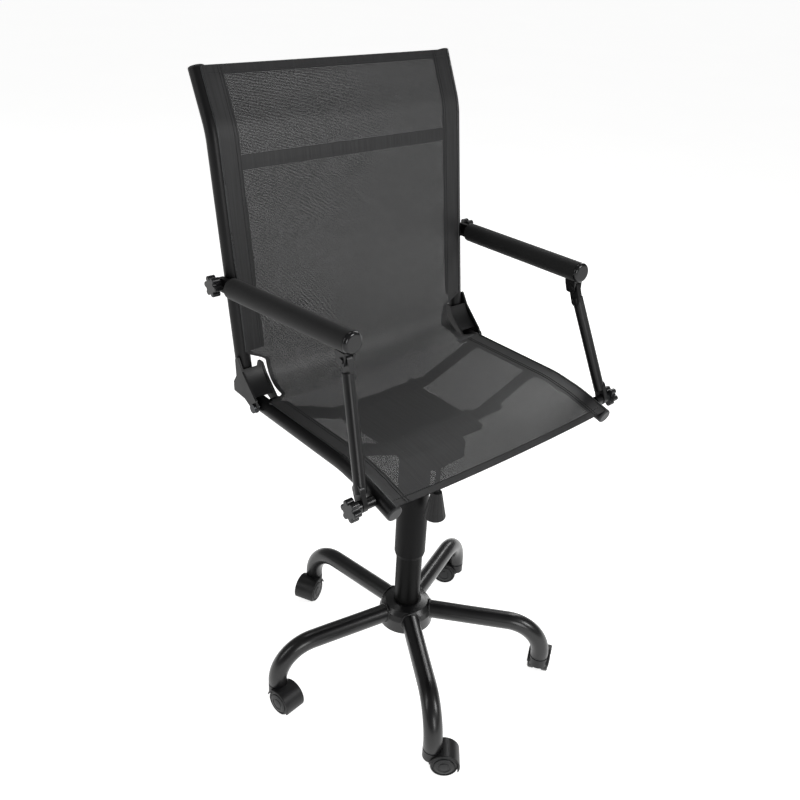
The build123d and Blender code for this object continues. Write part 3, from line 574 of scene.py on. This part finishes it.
# %% Cloth by the strip
def cloth_strip(name, across_at, s_from, s_to, columns, rows, lift=0.0, finish=sling_cloth):
    """A strip of cloth. across_at(s) gives its two side edges as distances from the middle, in metres."""
    clear_selection()
    bpy.ops.mesh.primitive_grid_add(x_subdivisions=columns, y_subdivisions=rows, size=2)
    piece = bpy.context.object
    piece.name = name
    mesh = piece.data
    for layer in list(mesh.uv_layers):
        mesh.uv_layers.remove(layer)
    cloth_map = mesh.uv_layers.new(name="cloth")
    flat = {}
    for vertex in mesh.vertices:
        s = s_from + (s_to - s_from) * (vertex.co.y + 1) / 2
        low, high = across_at(s)
        x = low + (high - low) * (vertex.co.x + 1) / 2
        flat[vertex.index] = (x, s)
        vertex.co = on_cloth(x / half_width(s), s, lift)
    for corner in mesh.loops:
        cloth_map.data[corner.index].uv = flat[corner.vertex_index]
    mesh.materials.clear()
    mesh.materials.append(finish)
    for face in mesh.polygons:
        face.use_smooth = True
    mesh.update()
    return piece


def whole_width(s):
    """Both edges of the cloth."""
    return -half_width(s), half_width(s)


sling = cloth_strip("sling", whole_width, 0.0, SLING_LENGTH, 96, 300)
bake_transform(sling)
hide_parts("seat_sling", "back_sling")
print("sling", len(sling.data.polygons), "faces")

# %% [markdown]
# Where the cloth is turned over and sewn it is double, so hardly any light comes through and it looks
# darker. The side hems hold the welt that sits in the tube slot. Narrow hems finish the top, the front and
# the two free corner curves.

# %% Hems
SEAT_HEM = 0.030
BACK_HEM = 0.036
EDGE_HEM = 0.014
CORNER_HEM = 0.009
HEM_DROP = -0.9 * MM
hems = []


def side_hem(width, side):
    """The inner and outer edge of a hem along one side."""
    def edges(s):
        outer = half_width(s)
        pair = (outer - width, outer)
        return pair if side > 0 else (-pair[1], -pair[0])
    return edges


for side, word in ((1, "left"), (-1, "right")):
    seat_hem = cloth_strip(f"hem_seat_{word}", side_hem(SEAT_HEM, side), 0.0, CORNER_START, 6, 90, HEM_DROP)
    back_hem = cloth_strip(
        f"hem_back_{word}", side_hem(BACK_HEM, side), CORNER_END, SLING_LENGTH, 6, 120, HEM_DROP)
    free_hem = cloth_strip(
        f"hem_corner_{word}", side_hem(CORNER_HEM, side), CORNER_START, CORNER_END, 4, 40, HEM_DROP)
    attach(seat_hem, "seat")
    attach(back_hem, "back")
    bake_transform(free_hem)
    hems += [seat_hem, back_hem, free_hem]
front_hem = cloth_strip("hem_front", whole_width, 0.0, EDGE_HEM, 90, 4, 2 * HEM_DROP)
top_hem = cloth_strip("hem_top", whole_width, SLING_LENGTH - EDGE_HEM, SLING_LENGTH, 90, 4, 2 * HEM_DROP)
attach(front_hem, "seat")
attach(top_hem, "back")
hems += [front_hem, top_hem]
print("hems", len(hems))

# %% [markdown]
# Stitches are what the eye looks for on sewn cloth. Each is a short bead of thread lying along the seam. One
# is modelled from a small cylinder with its ends drawn in, and copies of its mesh are laid along every seam.

# %% One stitch
STITCH_LENGTH = 3.2 * MM
STITCH_PITCH = 4.4 * MM
THREAD_RADIUS = 0.45 * MM
clear_selection()
bpy.ops.mesh.primitive_cylinder_add(vertices=6, radius=THREAD_RADIUS, depth=STITCH_LENGTH)
stitch = bpy.context.object
bpy.ops.object.mode_set(mode="EDIT")
bpy.ops.mesh.select_all(action="DESELECT")
bpy.ops.mesh.select_mode(type="FACE")
bpy.ops.object.mode_set(mode="OBJECT")
for face in stitch.data.polygons:
    face.select = abs(face.normal.z) > 0.9
bpy.ops.object.mode_set(mode="EDIT")
bpy.ops.mesh.inset(thickness=THREAD_RADIUS * 0.45, depth=THREAD_RADIUS * 0.6)
bpy.ops.object.mode_set(mode="OBJECT")
stitch_points = np.array([v.co for v in stitch.data.vertices])
stitch_faces = [list(p.vertices) for p in stitch.data.polygons]
bpy.data.objects.remove(stitch)
print("one stitch has", len(stitch_faces), "faces")

# %% [markdown]
# A seam is a row of those stitches with gaps between them. The wide hems of the seat and the back are sewn
# with two rows side by side, and the narrow hems with one. A stitch lies just above the cloth and points
# along the seam, so its direction comes from two points of the seam a little apart.

# %% Lay the seams
STITCH_LIFT = 0.3 * MM
STITCH_AIM = 0.2
SEAM_INSET = 2.5 * MM
ROW_SPACING = 5 * MM
CORNER_SEAM_INSET = 1.5 * MM
EDGE_SEAM_INSET = 2 * MM


def seam(name, line, count):
    """Lays stitches along a line: line(t) gives (distance from the middle, distance along the cloth)."""
    points, faces = [], []
    for index in range(count):
        t = (index + 0.5) / count
        (x0, s0), (x1, s1) = line(t - STITCH_AIM / count), line(t + STITCH_AIM / count)
        a = on_cloth(x0 / half_width(s0), s0, STITCH_LIFT)
        b = on_cloth(x1 / half_width(s1), s1, STITCH_LIFT)
        turn_to = (b - a).to_track_quat("Z", "Y").to_matrix()
        base = len(points)
        points += [tuple((a + b) / 2 + turn_to @ Vector(p)) for p in stitch_points]
        faces += [[base + v for v in face] for face in stitch_faces]
    mesh = bpy.data.meshes.new(name)
    mesh.from_pydata(points, [], faces)
    piece = bpy.data.objects.new(name, mesh)
    bpy.context.collection.objects.link(piece)
    return settle(piece, name, thread, 60)


def count_for(length):
    """How many stitches fit on a seam."""
    return int(length / STITCH_PITCH)


back_length = SLING_LENGTH - CORNER_END
corner_length = CORNER_END - CORNER_START
seams = []
for side, word in ((1, "left"), (-1, "right")):
    for row in (0, 1):
        inset = SEAM_INSET + row * ROW_SPACING
        seams.append((seam(
            f"stitches_seat_{word}_{row + 1}",
            lambda t, i=inset, sd=side: (
                sd * (half_width(t * CORNER_START) - SEAT_HEM + i), t * CORNER_START),
            count_for(CORNER_START)), "seat"))
        seams.append((seam(
            f"stitches_back_{word}_{row + 1}",
            lambda t, i=inset, sd=side: (
                sd * (half_width(CORNER_END + t * back_length) - BACK_HEM + i),
                CORNER_END + t * back_length),
            count_for(back_length)), "back"))
    corner_seam = seam(
        f"stitches_corner_{word}",
        lambda t, sd=side: (
            sd * (half_width(CORNER_START + t * corner_length) - CORNER_HEM + CORNER_SEAM_INSET),
            CORNER_START + t * corner_length),
        count_for(corner_length))
    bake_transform(corner_seam)
seams.append((seam(
    "stitches_front", lambda t: ((2 * t - 1) * (RAIL_X - 6 * MM), EDGE_HEM - EDGE_SEAM_INSET),
    count_for(2 * RAIL_X)), "seat"))
seams.append((seam(
    "stitches_top",
    lambda t: ((2 * t - 1) * (RAIL_X - 2 * MM), SLING_LENGTH - EDGE_HEM + EDGE_SEAM_INSET),
    count_for(2 * RAIL_X)), "back"))
for piece, body in seams:
    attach(piece, body)
print("seams", len(seams) + 2)

# %% [markdown]
# A welt is a plastic cord sewn into the edge of the cloth; it slides into the slot of the tube and stops the
# cloth pulling out. Its grey, lighter than the black cloth and frame, is a painted highlight for the fine light
# line along the tube beside the cloth. It is a curve with a round bevel, turned into a mesh.

# %% Welts
WELT_RADIUS = 1.5 * MM
WELT_END_GAP = 2 * MM


def bead(name, points, radius, finish, body):
    """A thin round bead along a line of points."""
    data = bpy.data.curves.new(name, "CURVE")
    data.dimensions = "3D"
    data.bevel_depth = radius
    data.bevel_resolution = 3
    data.use_fill_caps = True
    spline = data.splines.new("POLY")
    spline.points.add(len(points) - 1)
    for point, place in zip(spline.points, points):
        point.co = (*place, 1)
    curve = bpy.data.objects.new(name, data)
    bpy.context.collection.objects.link(curve)
    pick(curve)
    bpy.ops.object.convert(target="MESH")
    piece = settle(bpy.context.object, name, finish, 60)
    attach(piece, body)
    return piece


for side, word in ((1, "left"), (-1, "right")):
    seat_points = [on_cloth(side, s) for s in np.linspace(WELT_END_GAP, CORNER_START, 60)]
    back_points = [on_cloth(side, s) for s in np.linspace(CORNER_END, SLING_LENGTH - WELT_END_GAP, 80)]
    bead(f"welt_seat_{word}", seat_points, WELT_RADIUS, welt_painted_highlight, "seat")
    bead(f"welt_back_{word}", back_points, WELT_RADIUS, welt_painted_highlight, "back")
print("welts 4")

# %% [markdown]
# The arm grip is foam tube pushed over the arm. It starts as a cylinder of the right size. A few rings are
# cut near the ends. Both end faces are inset and pushed in to leave the wall of the foam standing round the
# steel tube, and the rims are bevelled round. Then the foam is made slightly fuller between its ends, and the
# rings let it taper to its own size where the cap and the tab hold it.

# %% Grips
GRIP_RADIUS = 17.0 * MM
ARM_TUBE_RADIUS = 11.0 * MM
GRIP_START = 28 * MM
GRIP_RINGS = (-0.485, -0.46, -0.42, 0.42, 0.46, 0.485)
GRIP_SWELL = 0.02
GRIP_SWELL_FROM = 0.8
ARM_REAR = Vector((0.265, 0.196, 0.814))
ARM_FRONT = Vector((0.245, -0.116, 0.826))


def foam_grip(word, side):
    """One foam sleeve, from its own cylinder."""
    mirror = Vector((side, 1, 1))
    rear, front = ARM_REAR * mirror, ARM_FRONT * mirror
    run = (front - rear).normalized()
    start = rear + run * GRIP_START
    length = (front - start).length
    clear_selection()
    bpy.ops.mesh.primitive_cylinder_add(
        vertices=72, radius=GRIP_RADIUS, depth=length, location=(start + front) / 2,
        rotation=run.to_track_quat("Z", "Y").to_euler())
    piece = bpy.context.object
    bpy.ops.object.mode_set(mode="EDIT")
    for fraction in GRIP_RINGS:
        bpy.ops.mesh.select_all(action="SELECT")
        bpy.ops.mesh.bisect(plane_co=(start + front) / 2 + run * length * fraction, plane_no=run)
    bpy.ops.mesh.select_mode(type="FACE")
    bpy.ops.mesh.select_all(action="DESELECT")
    bpy.ops.object.mode_set(mode="OBJECT")
    for face in piece.data.polygons:
        face.select = abs(face.normal.z) > 0.9
    bpy.ops.object.mode_set(mode="EDIT")
    bpy.ops.mesh.inset(thickness=GRIP_RADIUS - ARM_TUBE_RADIUS - 0.2 * MM)
    bpy.ops.mesh.inset(thickness=0.0, depth=-3 * MM)
    bpy.ops.object.mode_set(mode="OBJECT")
    bevel = piece.modifiers.new("rounded rims", "BEVEL")
    bevel.width = 2.2 * MM
    bevel.segments = 4
    bevel.limit_method = "ANGLE"
    bevel.angle_limit = math.radians(60)
    pick(piece)
    bpy.ops.object.modifier_apply(modifier=bevel.name)
    for vertex in piece.data.vertices:
        radius = math.hypot(vertex.co.x, vertex.co.y)
        if radius > GRIP_RADIUS * 0.9:
            near_end = smooth_step(
                (abs(vertex.co.z) / (length / 2) - GRIP_SWELL_FROM) / (1 - GRIP_SWELL_FROM))
            swell = 1 + GRIP_SWELL * (1 - near_end) * math.cos(vertex.co.z / length * 2)
            vertex.co.x *= swell
            vertex.co.y *= swell
    settle(piece, f"foam_grip_{word}", foam)
    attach(piece, f"arm_{word}")
    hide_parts(f"arm_grip_{word}")
    return piece


for side, word in ((1, "left"), (-1, "right")):
    grip = foam_grip(word, side)
    print(grip.name, len(grip.data.polygons), "faces")

# %% [markdown]
# The two cheeks of each hinge are joined by a pressed web along their front edges, which closes the bracket
# into a channel round the foot of the upright. It starts as a grid laid across the cheeks. Each row of the
# grid is put on a smooth arc, which starts and ends at the outer two of three points and bends towards the
# middle one, and a solidify modifier gives it the thickness of the sheet.

# %% Hinge webs
WEB_ACROSS = (0.2195, 0.2560)
WEB_LINE = (Vector((0.125, 0.6345)), Vector((0.152, 0.652)), Vector((0.1595, 0.673)))
WEB_SHEET = 2.2 * MM
WEB_ROWS = 14
for side, word in ((1, "left"), (-1, "right")):
    clear_selection()
    bpy.ops.mesh.primitive_grid_add(x_subdivisions=4, y_subdivisions=WEB_ROWS, size=2)
    web = bpy.context.object
    for vertex in web.data.vertices:
        t = (vertex.co.y + 1) / 2
        place = WEB_LINE[0] * (1 - t) ** 2 + WEB_LINE[1] * 2 * t * (1 - t) + WEB_LINE[2] * t * t
        x = WEB_ACROSS[0] + (WEB_ACROSS[1] - WEB_ACROSS[0]) * (vertex.co.x + 1) / 2
        vertex.co = (side * x, place.x, place.y)
    sheet = web.modifiers.new("sheet", "SOLIDIFY")
    sheet.thickness = WEB_SHEET
    sheet.offset = 0
    pick(web)
    bpy.ops.object.modifier_apply(modifier=sheet.name)
    settle(web, f"hinge_web_{word}", bracket_powder)
    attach(web, "back")
    print(web.name, len(web.data.polygons), "faces")

# %% [markdown]
# Each leg is welded where it enters the hub. A robot lays one even bead right round the tube, and the enamel
# flows over it, so it shows as a soft ring rather than a sharp corner. A torus is that bead; it is leaned
# back to follow the hub's round shoulder.

# %% Weld beads of the star base
LEG_COUNT = 5
FIRST_LEG = math.radians(-120)
LEG_RADIUS = 17.5 * MM
HUB_RADIUS = 53 * MM
LEG_Z = 135.6 * MM
WELD_RADIUS = 2.2 * MM
WELD_INSET = 4.6 * MM
WELD_LEAN = Vector((0, 0, 0.16))
for index in range(LEG_COUNT):
    angle = FIRST_LEG + index * math.tau / LEG_COUNT
    outward = Vector((math.cos(angle), math.sin(angle), 0))
    centre = outward * (HUB_RADIUS - WELD_INSET) + Vector((0, 0, LEG_Z))
    clear_selection()
    bpy.ops.mesh.primitive_torus_add(
        major_radius=LEG_RADIUS + 0.4 * MM, minor_radius=WELD_RADIUS, major_segments=72, minor_segments=12,
        location=centre, rotation=(outward + WELD_LEAN).to_track_quat("Z", "Y").to_euler())
    weld = settle(bpy.context.object, f"hub_weld_{index + 1}", enamel, 80)
    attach(weld, "base")
print("weld beads", LEG_COUNT)

# %% [markdown]

# %% [markdown]
# The floor is a plain pale sheet that runs out of sight. It is staging and no part of the chair.

# %% Floor
floor_paint = skin("studio_floor_lit", "#F4F4F3", "#FAFAF9", (0.7, 0.85), 4.0, 0.05, patch_mm=900.0)
floor_shader = floor_paint.node_tree.nodes["Principled BSDF"]
floor_shader.inputs["Emission Color"].default_value = linear("#FFFFFF")
floor_shader.inputs["Emission Strength"].default_value = FLOOR_GLOW
clear_selection()
bpy.ops.mesh.primitive_plane_add(size=2 * FLOOR_HALF)
floor = bpy.context.object
floor.name = "floor"
floor.data.materials.append(floor_paint)
